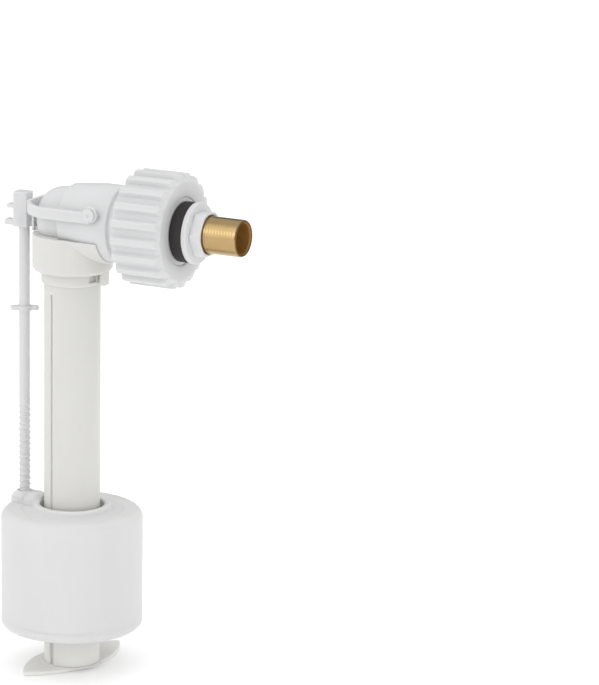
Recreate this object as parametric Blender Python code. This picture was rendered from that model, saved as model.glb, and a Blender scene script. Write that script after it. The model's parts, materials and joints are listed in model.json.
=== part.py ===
"""Side-inlet toilet fill valve: a float on a threaded rod works a pilot lever on a diaphragm valve.

Units are metres, +Z is up. The world origin is the centre of the hole in the cistern wall, in the plane
where the rubber washer meets the wall, and +X points out of the cistern along the inlet. Every piece hangs
on the empty "tube_axis", so positions below are counted from the point where the outlet tube's axis crosses
the inlet's axis.
"""

import math

import bmesh
import bpy
from mathutils import Matrix, Vector

GAP = 0.0003  # running gap between pieces that touch on the real valve

# Inlet tail, a G1/2 brass spigot, and what is stacked on it
WALL_X = 0.0780  # tube axis to the washer's outer face
TAIL_R = 0.01045
TAIL_BORE_R = 0.0079
TAIL_START_X = 0.057
TAIL_FLANGE_R = 0.013
TAIL_FLANGE_X = 0.060
TAIL_END_X = 0.1089
TAIL_CHAMFER = 0.0009
TAIL_MOUTH_R = 0.0082
TAIL_SINK = 0.0010
WASHER_R = 0.0170
WASHER_X = 0.0706
BACKNUT_R = 0.0174
BACKNUT_FLANGE_X = 0.0812
BACKNUT_END_X = 0.0880
BACKNUT_FLATS = 0.0240
RESTRICTOR_X = (0.068, 0.073)
FILTER_X = (0.076, 0.092)
FILTER_WALL = 0.0008

# Union nut and the flange it clamps
NUT_X = (0.0410, 0.0715)
NUT_ROOT_R = 0.0300
NUT_RIB_R = 0.0326
NUT_RIBS = 20
NUT_WEB_X = 0.0660
NUT_MOUTH_R = 0.0198
NUT_DISH = 0.0008
FLANGE_R = 0.0262
FLANGE_X = 0.0603
HUB_R = 0.0193
SEAL_R = 0.0200

# Head: barrel on the inlet axis, seat and outlet passage inside it
BARREL_R = 0.0218
BARREL_START_R = 0.0200
BARREL_FULL_X = 0.0200
BARREL_X = (0.0015, 0.0330)
NECK_R = 0.0200
NECK_END_X = 0.0388
THREAD_R = 0.0262
CHAMBER_R = 0.0170
SEAT_X = 0.0008
SEAT_R = (0.0070, 0.0095)
SEAT_END_X = 0.0190
PASSAGE_X = 0.0105
PASSAGE_R = (0.0065, 0.0085)
SPOUT_Z = -0.0260

# End cap, pilot nozzle and diaphragm
CAP_R = 0.0176
CAP_END_X = -0.0185
CAP_CAVITY_R = 0.0160
CAP_CAVITY_X = -0.0085
NOTCH_X = -0.0115
NOTCH_HALF_Y = 0.0052
NOTCH_Z = (-0.0130, -0.0006)
NOZZLE_X = -0.0155
NOZZLE_TIP_Z = -0.0009
NOZZLE_TOP_Z = 0.0040
NOZZLE_R = (0.0006, 0.0020)
DIAPHRAGM_R = 0.0155
DIAPHRAGM_X = (-0.0046, -0.0026)
BOSS_R = 0.0080
BOSS_X = (-0.0060, -0.0012)
BUSH_R = (0.0008, 0.0030)
PIN_R = 0.0005

# Lever: a yoke round the barrel, hinged on two pins
PIVOT_X = 0.0245
PIVOT_Z = 0.0085
PIVOT_PIN_R = 0.0024
PIVOT_EYE_R = 0.0046
ARM_Y = (0.0223, 0.0248)
ARM_Z = (0.0034, 0.0096)
CROSSBAR_X = (-0.0242, -0.0222)
ARM_INSIDE = ((-0.0080, ARM_Y[0]), (-0.0170, 0.0165), (CROSSBAR_X[1], 0.0085))  # seen from above, along one arm
ARM_OUTSIDE = ((-0.0083, ARM_Y[1]), (-0.0184, 0.0183), (CROSSBAR_X[0], 0.0095))
TONGUE_HALF_Y = 0.0020
TONGUE_Z = (0.0016, 0.0054)
TONGUE_END_X = -0.0340
PADDLE_Z = (-0.0089, -0.0065)
PADDLE_HALF_Y = 0.0035
PADDLE_END_X = -0.0121
SEAL_PAD_R = 0.0024
SEAL_PAD_SHIFT = 0.0008
SEAL_PAD_TOP_Z = -0.0054

# Float rod and its clip
ROD_X = -0.0315
ROD_R = 0.0033
ROD_Z = (-0.2280, -0.0010)
ROD_TAB_Z = -0.0555
ROD_TAB_TURN = 30.0
CLIP_X = (-0.0370, -0.0278)
CLIP_HALF_Y = 0.0040
CLIP_Z = (-0.0080, 0.0120)

# Outlet: cup under the head, collar, tube, silencer and foot
CUP_R = 0.0227
CUP_CAVITY_R = 0.0195
CUP_Z = (-0.0295, -0.0085)
CUP_FLOOR = 0.0030
CUP_DECK = 0.0015
CUP_MOUTH_R = 0.0135
SADDLE_R = 0.0232
SADDLE_END_X = 0.0268
COLLAR_R = (0.0163, 0.0176)
COLLAR_Z = (-0.0366, -0.0298)
TUBE_R = 0.0160
TUBE_WALL = 0.0015
TUBE_Z = (-0.2607, -0.0301)
GROOVE_ANGLE = -107.0
SILENCER_R = (0.0090, 0.0102)
SILENCER_Z = (-0.2150, -0.0310)
FOOT_Z = (-0.2630, -0.2610)
FOOT_CENTRE = (-0.0030, 0.0055)
FOOT_LENGTH = 0.0820
FOOT_HALF_WIDTH = 0.0180
FOOT_TURN = 77.0
FOOT_BORE_R = 0.0125

# Float
FLOAT_R = 0.0406
FLOAT_Z = (-0.2390, -0.1693)
FLOAT_WALL = 0.0018
FLOAT_HOLE_R = 0.0184
FLOAT_NECK_R = 0.0220
FLOAT_NECK_Z = -0.1663
FLOAT_VALLEY_Z = -0.1702
SHOULDER_R = 0.0125
FLOAT_SPLIT_Z = -0.2330
WELL_R = (0.0040, 0.0056)
ROD_BOSS_Z = -0.1668
ROD_BOSS_FOOT_Z = -0.1800
ROD_BOSS_R = 0.0078
CATCH_R = 0.0072
BRIDGE_X = (-0.0315, -0.0200)
BRIDGE_HALF_Y = 0.0085
BRIDGE_Z = (-0.1712, -0.1634)

ROUND = 36  # facets round a large turned piece
SMALL_ROUND = 20

COLOURS = {
    "cool_white": ((0.80, 0.80, 0.81), 0.38, 0.0),
    "warm_white": ((0.79, 0.78, 0.74), 0.36, 0.0),
    "brass": ((0.72, 0.50, 0.22), 0.28, 1.0),
    "rubber": ((0.025, 0.022, 0.021), 0.70, 0.0),
    "steel": ((0.60, 0.60, 0.60), 0.30, 1.0),
    "blue_plastic": ((0.10, 0.22, 0.50), 0.45, 0.0),
}


def clear_scene():
    for obj in list(bpy.data.objects):
        bpy.data.objects.remove(obj, do_unlink=True)


def material(node, colour):
    base, roughness, metallic = COLOURS[colour]
    made = bpy.data.materials.new(node + "_material")
    made.use_nodes = True
    shader = made.node_tree.nodes["Principled BSDF"]
    shader.inputs["Base Color"].default_value = (*base, 1.0)
    shader.inputs["Roughness"].default_value = roughness
    shader.inputs["Metallic"].default_value = metallic
    return made


def add_object(name, bm, colour, parent, location=(0, 0, 0)):
    """Makes bm an object. Its vertices are given about the parent, and its origin is moved to location."""
    bmesh.ops.translate(bm, verts=bm.verts, vec=-Vector(location))
    bmesh.ops.recalc_face_normals(bm, faces=bm.faces)
    mesh = bpy.data.meshes.new(name)
    bm.to_mesh(mesh)
    bm.free()
    mesh.shade_smooth()
    mesh.set_sharp_from_angle(angle=math.radians(35))
    obj = bpy.data.objects.new(name, mesh)
    bpy.context.scene.collection.objects.link(obj)
    obj.parent = parent
    obj.location = location
    if colour:
        mesh.materials.append(material(name, colour))
    return obj


def turn(profile, axis="Z", centre=(0, 0, 0), steps=ROUND, shape=None):
    """A bmesh turned from a closed profile of (radius, distance along the axis) points.

    Points at radius 0 lie on the axis. shape(angle, radius, along) may change the radius, for ribs and flats.
    """
    bm = bmesh.new()
    rings = []
    for radius, along in profile:
        if radius == 0:
            rings.append([bm.verts.new((0, 0, along))])
            continue
        ring = []
        for i in range(steps):
            angle = 2 * math.pi * i / steps
            r = shape(angle, radius, along) if shape else radius
            ring.append(bm.verts.new((r * math.cos(angle), r * math.sin(angle), along)))
        rings.append(ring)
    for first, second in zip(rings, rings[1:] + rings[:1]):
        if len(first) == 1 and len(second) == 1:
            continue
        for i in range(steps):
            j = (i + 1) % steps
            corners = [first[i % len(first)], first[j % len(first)]]
            corners += [second[j % len(second)], second[i % len(second)]]
            unique = list(dict.fromkeys(corners))
            bm.faces.new(unique)
    turns = {
        "X": Matrix.Rotation(math.radians(90), 4, "Y"),
        "Y": Matrix.Rotation(math.radians(-90), 4, "X"),
        "Z": Matrix.Identity(4),
    }
    bmesh.ops.transform(bm, matrix=Matrix.Translation(centre) @ turns[axis], verts=bm.verts)
    return bm


def rod(radius, low, high, axis="Z", centre=(0, 0, 0), steps=SMALL_ROUND):
    return turn([(0, low), (radius, low), (radius, high), (0, high)], axis, centre, steps)


def ring(inner, outer, low, high, axis="Z", centre=(0, 0, 0), steps=ROUND):
    return turn([(inner, low), (outer, low), (outer, high), (inner, high)], axis, centre, steps)


def block(x, y, z, turn_deg=0.0):
    """A box between three (low, high) pairs, turned about the Z axis."""
    bm = bmesh.new()
    bmesh.ops.create_cube(bm, size=1.0)
    size = Vector((x[1] - x[0], y[1] - y[0], z[1] - z[0]))
    middle = Vector((sum(x) / 2, sum(y) / 2, sum(z) / 2))
    bmesh.ops.scale(bm, vec=size, verts=bm.verts)
    bmesh.ops.translate(bm, vec=middle, verts=bm.verts)
    bmesh.ops.rotate(bm, cent=(0, 0, 0), matrix=Matrix.Rotation(math.radians(turn_deg), 3, "Z"), verts=bm.verts)
    return bm


def prism(outline, low, high):
    """A closed outline in the XY plane, extruded from low to high."""
    bm = bmesh.new()
    face = bm.faces.new([bm.verts.new((x, y, low)) for x, y in outline])
    grown = bmesh.ops.extrude_face_region(bm, geom=[face])
    moved = [item for item in grown["geom"] if isinstance(item, bmesh.types.BMVert)]
    bmesh.ops.translate(bm, vec=(0, 0, high - low), verts=moved)
    return bm


def combine(obj, operation, *tools):
    """Adds an exact Boolean modifier to obj for each tool shape, with the tool kept as a hidden guide."""
    for i, bm in enumerate(tools):
        tool = add_object(f"{obj.name}_{operation.lower()}_{len(obj.modifiers)}_{i}", bm, None, obj.parent)
        tool.hide_render = True
        tool.display_type = "WIRE"
        modifier = obj.modifiers.new(f"{operation.lower()}_{len(obj.modifiers)}", "BOOLEAN")
        modifier.operation = operation
        modifier.object = tool
        modifier.solver = "EXACT"
    return obj


# ---------------------------------------------------------------- inlet
def inlet_tail(parent):
    profile = [
        (TAIL_BORE_R, TAIL_START_X),
        (TAIL_FLANGE_R, TAIL_START_X),
        (TAIL_FLANGE_R, TAIL_FLANGE_X),
        (TAIL_R, TAIL_FLANGE_X),
        (TAIL_R, TAIL_END_X - TAIL_CHAMFER),
        (TAIL_R - TAIL_CHAMFER, TAIL_END_X),
        (TAIL_MOUTH_R, TAIL_END_X),
        (TAIL_BORE_R, TAIL_END_X - TAIL_SINK),
    ]
    add_object("inlet_tail", turn(profile, "X"), "brass", parent)


def inlet_flange(parent):
    bore = TAIL_R + GAP
    hub_end = WASHER_X - GAP
    web = NUT_WEB_X - GAP
    profile = [(bore, FLANGE_X), (FLANGE_R, FLANGE_X), (FLANGE_R, web), (HUB_R, web), (HUB_R, hub_end), (bore, hub_end)]
    add_object("inlet_flange", turn(profile, "X"), "cool_white", parent)
    seal = ring(SEAL_R, FLANGE_R, TAIL_START_X + GAP, FLANGE_X - GAP, "X")
    add_object("flange_seal", seal, "rubber", parent)


def wall_fixing(parent):
    bore = TAIL_R + GAP
    add_object("wall_washer", ring(bore, WASHER_R, WASHER_X, WALL_X, "X"), "rubber", parent)

    def hexagon(angle, radius, along):
        if radius < BACKNUT_FLATS / 2 or radius == BACKNUT_R:
            return radius
        sector = math.pi / 3
        return radius / math.cos((angle + sector / 2) % sector - sector / 2)

    start = WALL_X + GAP
    flats = BACKNUT_FLATS / 2
    profile = [(bore, start), (BACKNUT_R, start), (BACKNUT_R, BACKNUT_FLANGE_X), (flats, BACKNUT_FLANGE_X)]
    profile += [(flats, BACKNUT_END_X), (bore, BACKNUT_END_X)]
    add_object("backnut", turn(profile, "X", shape=hexagon), "cool_white", parent)


def inlet_inserts(parent):
    fit = TAIL_BORE_R - GAP
    add_object("flow_restrictor", ring(0.0030, fit, *RESTRICTOR_X, "X", steps=SMALL_ROUND), "blue_plastic", parent)
    inner = fit - FILTER_WALL
    low, high = FILTER_X
    profile = [(0, low), (fit, low), (fit, high), (inner, high), (inner, low + FILTER_WALL), (0, low + FILTER_WALL)]
    strainer = add_object("inlet_filter", turn(profile, "X", steps=SMALL_ROUND), "blue_plastic", parent)
    slot = (low + 0.003, high - 0.004)
    for angle in (0, 60, 120):
        cutter = block(slot, (-0.0013, 0.0013), (-0.010, 0.010))
        bmesh.ops.rotate(cutter, cent=(0, 0, 0), matrix=Matrix.Rotation(math.radians(angle), 3, "X"), verts=cutter.verts)
        combine(strainer, "DIFFERENCE", cutter)


def union_nut(parent):
    pitch = 2 * math.pi / NUT_RIBS

    def ribs(angle, radius, along):
        outer = radius > THREAD_R + 0.0012
        on_rib = (angle % pitch) < pitch / 2 - 1e-6
        return radius + (NUT_RIB_R - NUT_ROOT_R) if outer and on_rib else radius

    bore = THREAD_R + GAP
    low, high = NUT_X
    profile = [
        (bore, low),
        (NUT_ROOT_R - 0.001, low),
        (NUT_ROOT_R, low + 0.001),
        (NUT_ROOT_R, high - 0.0015),
        (NUT_ROOT_R - 0.0015, high),
        (bore + 0.001, high),
        (bore, high - NUT_DISH),
        (NUT_MOUTH_R, high - NUT_DISH),
        (NUT_MOUTH_R, NUT_WEB_X),
        (bore, NUT_WEB_X),
    ]
    add_object("union_nut", turn(profile, "X", steps=4 * NUT_RIBS, shape=ribs), "cool_white", parent)


# ---------------------------------------------------------------- head
def head_body(parent):
    low, high = BARREL_X
    outer_end = TAIL_START_X
    profile = [
        (CHAMBER_R, low),
        (BARREL_START_R, low),
        (BARREL_R, BARREL_FULL_X),
        (BARREL_R, high),
        (NECK_R, high + 0.001),
        (NECK_R, NECK_END_X),
        (THREAD_R, NECK_END_X + 0.0004),
        (THREAD_R, outer_end),
        (CHAMBER_R, outer_end),
    ]
    head = add_object("head_body", turn(profile, "X"), "cool_white", parent)
    seat = rod(SEAT_R[1], SEAT_X, SEAT_END_X, "X", steps=ROUND)
    passage = rod(PASSAGE_R[1], SPOUT_Z, 0.0, "Z", (PASSAGE_X, 0, 0), ROUND)
    combine(head, "UNION", seat, passage)
    seat_bore = rod(SEAT_R[0], SEAT_X - 0.002, PASSAGE_X + 0.002, "X")
    passage_bore = rod(PASSAGE_R[0], SPOUT_Z - 0.002, 0.001, "Z", (PASSAGE_X, 0, 0))
    combine(head, "DIFFERENCE", seat_bore, passage_bore)
    pin_hole = PIVOT_PIN_R + GAP
    for side in (-1, 1):
        span = sorted((side * 0.0177, side * 0.0300))
        combine(head, "DIFFERENCE", rod(pin_hole, *span, "Y", (PIVOT_X, 0, PIVOT_Z)))


def cap_dome(grow=0.0):
    """The cap's round end, from its straight side to its tip, grown by that much."""
    start = BARREL_X[0] - GAP - 0.006
    depth = start - CAP_END_X + grow
    angles = [math.pi / 2 * i / 8 for i in range(8)]
    dome = [((CAP_R + grow) * math.cos(t) ** 0.6, start - depth * math.sin(t)) for t in angles]
    return dome + [(0, start - depth)]


def head_end_cap(parent):
    rim = BARREL_X[0] - GAP
    profile = [(0, CAP_CAVITY_X), (CAP_CAVITY_R, CAP_CAVITY_X), (CAP_CAVITY_R, rim), (CAP_R, rim)]
    profile += cap_dome()
    cap = add_object("head_end_cap", turn(profile, "X"), "cool_white", parent)
    notch = block((CAP_END_X - 0.002, NOTCH_X), (-NOTCH_HALF_Y, NOTCH_HALF_Y), NOTCH_Z)
    socket = rod(NOZZLE_R[1] + GAP, NOTCH_Z[1] - 0.001, NOZZLE_TOP_Z + GAP, "Z", (NOZZLE_X, 0, 0))
    duct = rod(0.001, NOZZLE_X, CAP_CAVITY_X + 0.001, "X", (0, 0, 0.0025), steps=12)
    pin_hole = rod(PIN_R + GAP, CAP_CAVITY_X - 0.0025, CAP_CAVITY_X + 0.001, "X", steps=12)
    combine(cap, "DIFFERENCE", notch, socket, duct, pin_hole)
    nozzle = ring(*NOZZLE_R, NOZZLE_TIP_Z, NOZZLE_TOP_Z, "Z", (NOZZLE_X, 0, 0), 20)
    add_object("pilot_nozzle", nozzle, "brass", parent)
    pin = rod(PIN_R, CAP_CAVITY_X - 0.0022, SEAT_X, "X", steps=12)
    add_object("metering_pin", pin, "steel", parent)


def diaphragm(parent):
    bore = BUSH_R[1] + GAP
    profile = [
        (bore, BOSS_X[0]),
        (BOSS_R, BOSS_X[0]),
        (BOSS_R, DIAPHRAGM_X[0]),
        (DIAPHRAGM_R, DIAPHRAGM_X[0]),
        (DIAPHRAGM_R, DIAPHRAGM_X[1]),
        (BOSS_R, DIAPHRAGM_X[1]),
        (BOSS_R, BOSS_X[1]),
        (bore, BOSS_X[1]),
    ]
    place = (BOSS_X[1], 0, 0)
    add_object("diaphragm", turn(profile, "X"), "rubber", parent, place)
    bush = ring(*BUSH_R, BOSS_X[0] - 0.0003, BOSS_X[1] + 0.0002, "X", steps=20)
    add_object("diaphragm_bush", bush, "blue_plastic", parent, place)


# ---------------------------------------------------------------- lever
def lever(parent):
    place = (PIVOT_X, 0, PIVOT_Z)
    outside = ((PIVOT_X, ARM_Y[1]),) + ARM_OUTSIDE
    inside = ((PIVOT_X, ARM_Y[0]),) + ARM_INSIDE
    outline = [(x, -y) for x, y in outside] + list(reversed(outside))
    outline += list(inside) + [(x, -y) for x, y in reversed(inside)]
    yoke = add_object("lever_yoke", prism(outline, *ARM_Z), "cool_white", parent, place)
    eyes = []
    for side in (-1, 1):
        span = sorted((side * ARM_Y[0], side * ARM_Y[1]))
        eyes.append(rod(PIVOT_EYE_R, *span, "Y", (PIVOT_X, 0, PIVOT_Z), 24))
    drop_x = (CROSSBAR_X[0] + 0.0004, CROSSBAR_X[1] - 0.0002)
    drop = block(drop_x, (-0.005, 0.005), (PADDLE_Z[0], TONGUE_Z[1] + 0.0004))
    paddle = block((drop_x[0] + 0.0005, PADDLE_END_X), (-PADDLE_HALF_Y, PADDLE_HALF_Y), (PADDLE_Z[0] + 0.0001, PADDLE_Z[1]))
    tongue = block((TONGUE_END_X, CROSSBAR_X[1] - 0.0005), (-TONGUE_HALF_Y, TONGUE_HALF_Y), TONGUE_Z)
    combine(yoke, "UNION", *eyes, drop, paddle, tongue)
    eye_hole = rod(PIVOT_PIN_R + GAP, -0.030, 0.030, "Y", (PIVOT_X, 0, PIVOT_Z))
    combine(yoke, "DIFFERENCE", eye_hole)
    pad = rod(SEAL_PAD_R, PADDLE_Z[1] + GAP, SEAL_PAD_TOP_Z, "Z", (NOZZLE_X + SEAL_PAD_SHIFT, 0, 0), 20)
    add_object("pilot_seal", pad, "rubber", parent, place)


def lever_pins(parent):
    head_r = 0.0036
    head_y = (ARM_Y[1] + GAP, ARM_Y[1] + 0.0016)
    profile = [(0, 0.0180), (PIVOT_PIN_R, 0.0180), (PIVOT_PIN_R, head_y[0]), (head_r, head_y[0])]
    profile += [(head_r, head_y[1] - 0.0005), (head_r - 0.0006, head_y[1]), (0, head_y[1])]
    for name, side in (("lever_pin_near", -1), ("lever_pin_far", 1)):
        points = [(r, side * y) for r, y in profile]
        pin = turn(points, "Y", (PIVOT_X, 0, PIVOT_Z), SMALL_ROUND)
        add_object(name, pin, "cool_white", parent, (PIVOT_X, 0, PIVOT_Z))


# ---------------------------------------------------------------- float rod
def float_rod(parent):
    place = (ROD_X, 0, ROD_Z[1])
    stem = add_object("float_rod", rod(ROD_R, *ROD_Z, "Z", (ROD_X, 0, 0), 24), "cool_white", parent, place)
    tab = block((-0.0082, 0.0082), (-0.0020, 0.0020), (ROD_TAB_Z - 0.0012, ROD_TAB_Z + 0.0012), ROD_TAB_TURN)
    bmesh.ops.translate(tab, verts=tab.verts, vec=(ROD_X, 0, 0))
    combine(stem, "UNION", tab)
    clip = add_object("rod_clip", block(CLIP_X, (-CLIP_HALF_Y, CLIP_HALF_Y), CLIP_Z), "cool_white", parent, place)
    for height, thick, reach in ((0.0032, 0.0022, 0.0046), (-0.0062, 0.0032, 0.0060)):
        ear = block((CLIP_X[0] - reach, CLIP_X[0] + 0.001), (-0.0025, 0.0025), (height - thick / 2, height + thick / 2))
        combine(clip, "UNION", ear)
    window = block((TONGUE_END_X - 0.0012, CLIP_X[1] + 0.001), (-TONGUE_HALF_Y - 0.0004, TONGUE_HALF_Y + 0.0004),
                   (TONGUE_Z[0] - 0.0007, TONGUE_Z[1] + 0.0007))
    socket = rod(ROD_R + GAP, CLIP_Z[0] - 0.001, ROD_Z[1] + GAP, "Z", (ROD_X, 0, 0), 24)
    combine(clip, "DIFFERENCE", window, socket)


# ---------------------------------------------------------------- outlet
def outlet_cup(parent):
    low, high = CUP_Z
    floor = low + CUP_FLOOR
    profile = [
        (CUP_MOUTH_R, low),
        (CUP_R - 0.0015, low),
        (CUP_R, low + 0.0015),
        (CUP_R, high),
        (0, high),
        (0, high - CUP_DECK),
        (CUP_CAVITY_R, high - CUP_DECK),
        (CUP_CAVITY_R, floor),
        (CUP_MOUTH_R, floor),
    ]
    cup = add_object("outlet_cup", turn(profile), "warm_white", parent)
    saddle = rod(SADDLE_R, 0.004, SADDLE_END_X, "X", steps=ROUND)
    combine(cup, "UNION", saddle, block((0.0192, 0.0221), (-0.0030, 0.0030), (-0.0362, low + 0.004)))
    above = block((-0.030, 0.030), (-0.030, 0.030), (high, 0.030))
    inside = rod(CUP_CAVITY_R, floor, high - CUP_DECK, steps=ROUND)
    barrel_room = rod(BARREL_R + GAP, BARREL_X[0] - 0.0005, 0.030, "X", steps=ROUND)
    cap_room = turn([(0, BARREL_X[0]), (CAP_R + GAP, BARREL_X[0])] + cap_dome(GAP), "X")
    paddle_room = block((-CUP_R - 0.002, NOTCH_X), (-NOTCH_HALF_Y, NOTCH_HALF_Y), (NOTCH_Z[0], high + 0.001))
    combine(cup, "DIFFERENCE", above, inside, barrel_room, cap_room, paddle_room)


def outlet_tube(parent):
    collar = add_object("tube_collar", ring(*COLLAR_R, *COLLAR_Z), "warm_white", parent)
    notch = block((0.0150, 0.0200), (-0.0027, 0.0027), (COLLAR_Z[0] + 0.0022, COLLAR_Z[1] + 0.001), -19.0)
    combine(collar, "DIFFERENCE", notch)
    tube = add_object("outlet_tube", ring(TUBE_R - TUBE_WALL, TUBE_R, *TUBE_Z), "warm_white", parent)
    depth = 0.0009
    groove = block((TUBE_R - depth, TUBE_R + 0.002), (-0.0010, 0.0010), (-0.2440, -0.0422), GROOVE_ANGLE)
    slot = block((TUBE_R - 0.004, TUBE_R + 0.002), (-0.0013, 0.0013), (-0.2650, -0.2450), GROOVE_ANGLE)
    combine(tube, "DIFFERENCE", groove, slot)
    low, high = SILENCER_Z
    inner, outer = SILENCER_R
    lip_r = TUBE_R - TUBE_WALL - GAP
    profile = [(inner, low), (outer, low), (outer, high - 0.002), (lip_r, high - 0.002), (lip_r, high), (inner, high)]
    add_object("silencer_tube", turn(profile, steps=32), "warm_white", parent)


def foot_plate(parent):
    half = FOOT_LENGTH / 2
    radius = (half**2 + FOOT_HALF_WIDTH**2) / (2 * FOOT_HALF_WIDTH)
    sweep = math.asin(half / radius)
    outline = []
    for side in (1, -1):
        for i in range(12):
            t = sweep * (2 * i / 12 - 1)
            outline.append((side * radius * math.sin(t), side * (radius * math.cos(t) - radius + FOOT_HALF_WIDTH)))
    turned = Matrix.Rotation(math.radians(FOOT_TURN), 2)
    placed = [turned @ Vector(point) + Vector(FOOT_CENTRE) for point in outline]
    foot = add_object("foot_plate", prism([tuple(p) for p in placed], *FOOT_Z), "warm_white", parent)
    spigot_r = TUBE_R - TUBE_WALL - GAP
    spigot = rod(spigot_r, FOOT_Z[0] + 0.0005, FOOT_Z[1] + 0.004, steps=ROUND)
    combine(foot, "UNION", spigot)
    bore = rod(FOOT_BORE_R, FOOT_Z[0] - 0.001, FOOT_Z[1] + 0.005, steps=ROUND)
    combine(foot, "DIFFERENCE", bore)


# ---------------------------------------------------------------- float
def arc(centre_r, centre_z, radius, start, end, count):
    return [
        (centre_r + radius * math.cos(t), centre_z + radius * math.sin(t))
        for t in (math.radians(start + (end - start) * i / count) for i in range(count + 1))
    ]


def float_parts(parent):
    place = (0, 0, FLOAT_Z[1])
    rim_r = FLOAT_R - SHOULDER_R
    shoulder_z = FLOAT_Z[1] - SHOULDER_R
    wall = FLOAT_WALL
    profile = [(FLOAT_HOLE_R, FLOAT_SPLIT_Z), (FLOAT_HOLE_R, FLOAT_NECK_Z), (FLOAT_NECK_R - 0.0008, FLOAT_NECK_Z)]
    profile += [(FLOAT_NECK_R, FLOAT_NECK_Z - 0.0008), (FLOAT_NECK_R + 0.0008, FLOAT_VALLEY_Z)]
    profile += [(rim_r - 0.0015, FLOAT_VALLEY_Z + 0.0004)]
    profile += arc(rim_r + 0.0012, shoulder_z, SHOULDER_R - 0.0012, 90, 0, 8)
    profile[-1] = (FLOAT_R, shoulder_z)
    profile += [(FLOAT_R, FLOAT_SPLIT_Z), (FLOAT_R - wall, FLOAT_SPLIT_Z)]
    profile += arc(rim_r, shoulder_z, SHOULDER_R - wall - 0.0010, 0, 80, 6)
    profile += [(FLOAT_HOLE_R + wall, FLOAT_VALLEY_Z - wall - 0.0006), (FLOAT_HOLE_R + wall, FLOAT_SPLIT_Z)]
    shell = add_object("float_shell", turn(profile, steps=ROUND), "cool_white", parent, place)
    axis = (ROD_X, 0, 0)
    well = [(0, FLOAT_SPLIT_Z), (WELL_R[1], FLOAT_SPLIT_Z), (WELL_R[1], ROD_BOSS_FOOT_Z)]
    well += [(ROD_BOSS_R, ROD_BOSS_FOOT_Z), (ROD_BOSS_R, ROD_BOSS_Z), (0, ROD_BOSS_Z)]
    bridge = block(BRIDGE_X, (-BRIDGE_HALF_Y, BRIDGE_HALF_Y), BRIDGE_Z)
    combine(shell, "UNION", turn(well, "Z", axis, SMALL_ROUND), bridge)
    catch_room = rod(CATCH_R + GAP, ROD_BOSS_Z - 0.0001, BRIDGE_Z[1] + 0.001, "Z", axis)
    combine(shell, "DIFFERENCE", catch_room)
    combine(shell, "DIFFERENCE", rod(WELL_R[0], FLOAT_SPLIT_Z - 0.001, ROD_BOSS_Z + 0.002, "Z", axis))

    low = FLOAT_Z[0]
    top = FLOAT_SPLIT_Z - GAP
    floor = low + 0.002
    profile = [(FLOAT_HOLE_R, low), (FLOAT_R - 0.0025, low), (FLOAT_R, low + 0.0025), (FLOAT_R, top)]
    profile += [(FLOAT_R - wall, top), (FLOAT_R - wall, floor), (FLOAT_HOLE_R + wall, floor)]
    profile += [(FLOAT_HOLE_R + wall, top), (FLOAT_HOLE_R, top)]
    base = add_object("float_base", turn(profile, steps=ROUND), "cool_white", parent, place)
    combine(base, "UNION", rod(WELL_R[1], low + 0.0005, top, "Z", axis))
    combine(base, "DIFFERENCE", rod(WELL_R[0], low - 0.001, top + 0.001, "Z", axis))

    catch_z = (ROD_BOSS_Z + GAP, ROD_BOSS_Z + 0.0036)
    catch = ring(ROD_R + GAP, CATCH_R, *catch_z, "Z", axis, SMALL_ROUND)
    add_object("float_catch", catch, "cool_white", parent, place)


def build():
    clear_scene()
    tube_axis = bpy.data.objects.new("tube_axis", None)
    tube_axis.location = (-WALL_X, 0, 0)
    bpy.context.scene.collection.objects.link(tube_axis)
    makers = (inlet_tail, inlet_flange, wall_fixing, inlet_inserts, union_nut, head_body, head_end_cap, diaphragm)
    makers += (lever, lever_pins, float_rod, outlet_cup, outlet_tube, foot_plate, float_parts)
    for make in makers:
        make(tube_axis)


build()
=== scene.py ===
"""Looks for a side-inlet toilet fill valve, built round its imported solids.

Lengths are metres in the frame of the CAD: the origin is the centre of the hole in the cistern wall, +X
runs out along the inlet and +Z up along the outlet tube.
"""

import json
import math

import bmesh
import bpy
from mathutils import Matrix, Vector


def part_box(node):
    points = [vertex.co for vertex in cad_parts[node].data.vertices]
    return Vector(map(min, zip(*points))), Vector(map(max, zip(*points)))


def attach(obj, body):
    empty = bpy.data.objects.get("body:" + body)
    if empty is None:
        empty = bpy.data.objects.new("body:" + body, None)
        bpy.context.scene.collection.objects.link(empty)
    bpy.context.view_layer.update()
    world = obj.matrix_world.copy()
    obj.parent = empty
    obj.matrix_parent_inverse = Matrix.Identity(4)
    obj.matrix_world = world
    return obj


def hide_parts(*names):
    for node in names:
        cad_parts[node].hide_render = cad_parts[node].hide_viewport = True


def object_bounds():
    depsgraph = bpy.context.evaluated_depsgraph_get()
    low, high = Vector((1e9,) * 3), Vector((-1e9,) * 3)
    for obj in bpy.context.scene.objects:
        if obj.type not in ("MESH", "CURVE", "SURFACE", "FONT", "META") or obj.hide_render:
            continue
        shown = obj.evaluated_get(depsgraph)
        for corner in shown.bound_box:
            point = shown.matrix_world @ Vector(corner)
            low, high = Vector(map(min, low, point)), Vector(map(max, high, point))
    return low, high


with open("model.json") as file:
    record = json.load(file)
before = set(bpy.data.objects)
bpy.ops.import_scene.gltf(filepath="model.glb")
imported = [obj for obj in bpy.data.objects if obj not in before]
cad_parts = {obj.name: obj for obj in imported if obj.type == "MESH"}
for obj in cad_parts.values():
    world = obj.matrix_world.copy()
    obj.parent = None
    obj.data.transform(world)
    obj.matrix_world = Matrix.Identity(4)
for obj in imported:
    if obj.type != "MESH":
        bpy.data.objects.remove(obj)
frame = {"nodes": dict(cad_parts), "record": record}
cad_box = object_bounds()

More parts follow.
